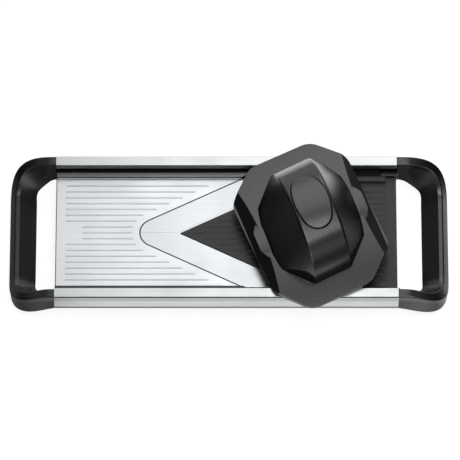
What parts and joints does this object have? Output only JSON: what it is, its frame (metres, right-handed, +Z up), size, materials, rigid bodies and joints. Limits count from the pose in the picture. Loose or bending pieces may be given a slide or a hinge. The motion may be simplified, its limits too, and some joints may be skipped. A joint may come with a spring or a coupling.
{
  "type": "mandoline slicer",
  "caption": "Flat V-blade mandoline slicer with ribbed steel plate between aluminium rails, black loop handles and a sliding faceted hand guard with a sprung pusher",
  "frame": {"origin": "on the table, midway between the outsides of the two handles and on the centre line of the plate", "axes": "+X along the rails from the slicing plate's end to the feed plate's end, +Y across to the rear rail, +Z up from the table"},
  "size_m": [0.3836, 0.1612, 0.0828],
  "materials": {
    "black_plastic": "fine satin moulding, slightly glossy on crowns",
    "feed_plastic": "satin ribbed moulding",
    "nylon": "plain low-friction moulding",
    "rail_aluminium": "silk anodised extrusion, lines along its length",
    "plate_steel": "satin stainless sheet with pressed ribs",
    "blade_steel": "fine ground stainless, bright bevel",
    "fastener_steel": "zinc-plated fasteners and wire",
    "foot_rubber": "soft matt rubber"
  },
  "bodies": {
    "frame": {"left_handle": "black_plastic", "right_handle": "black_plastic", "rear_rail": "rail_aluminium", "front_rail": "rail_aluminium", "rear_guide_strip": "nylon", "front_guide_strip": "nylon", "slicing_plate": "plate_steel", "rear_blade": "blade_steel", "front_blade": "blade_steel", "blade_carrier": "nylon", "blade_rivets": "fastener_steel", "adjuster_bridge": "plate_steel", "bridge_screws": "fastener_steel", "handle_screws": "fastener_steel", "left_rear_foot": "foot_rubber", "left_front_foot": "foot_rubber", "right_rear_foot": "foot_rubber", "right_front_foot": "foot_rubber"},
    "feed": {"feed_plate": "feed_plastic", "adjuster_stem": "fastener_steel"},
    "knob": {"adjuster_knob": "black_plastic", "retaining_ring": "fastener_steel"},
    "guard": {"guard_base": "black_plastic", "guard_shell": "black_plastic", "rear_runner": "nylon", "front_runner": "nylon", "guard_screws": "fastener_steel", "pusher_guide": "nylon", "pusher_spring": "fastener_steel"},
    "pusher": {"pusher_button": "black_plastic", "pusher_stem": "nylon", "pusher_plate": "nylon", "food_pins": "fastener_steel", "stem_screw": "fastener_steel"}
  },
  "joints": [
    {"name": "guard_slide", "type": "slide", "parent": "frame", "child": "guard", "axis": [1, 0, 0], "range_m": [-0.18, 0.033]},
    {"name": "pusher_press", "type": "slide", "parent": "guard", "child": "pusher", "axis": [0, 0, 1], "range_m": [-0.012, 0], "stiffness_N_per_m": 200, "springref_m": 0.01, "deforming": ["pusher_spring"]},
    {"name": "knob_turn", "type": "hinge", "parent": "frame", "child": "knob", "pos_m": [0.105, 0, 0.006], "axis": [0, 0, 1], "range_deg": [0, 300]},
    {"name": "plate_lift", "type": "slide", "parent": "frame", "child": "feed", "axis": [0, 0, 1], "range_m": [-0.005, 0]}
  ],
  "couplings": [
    {"joint": "knob_turn", "follows": "plate_lift", "rad_per_m": -1047.2}
  ]
}
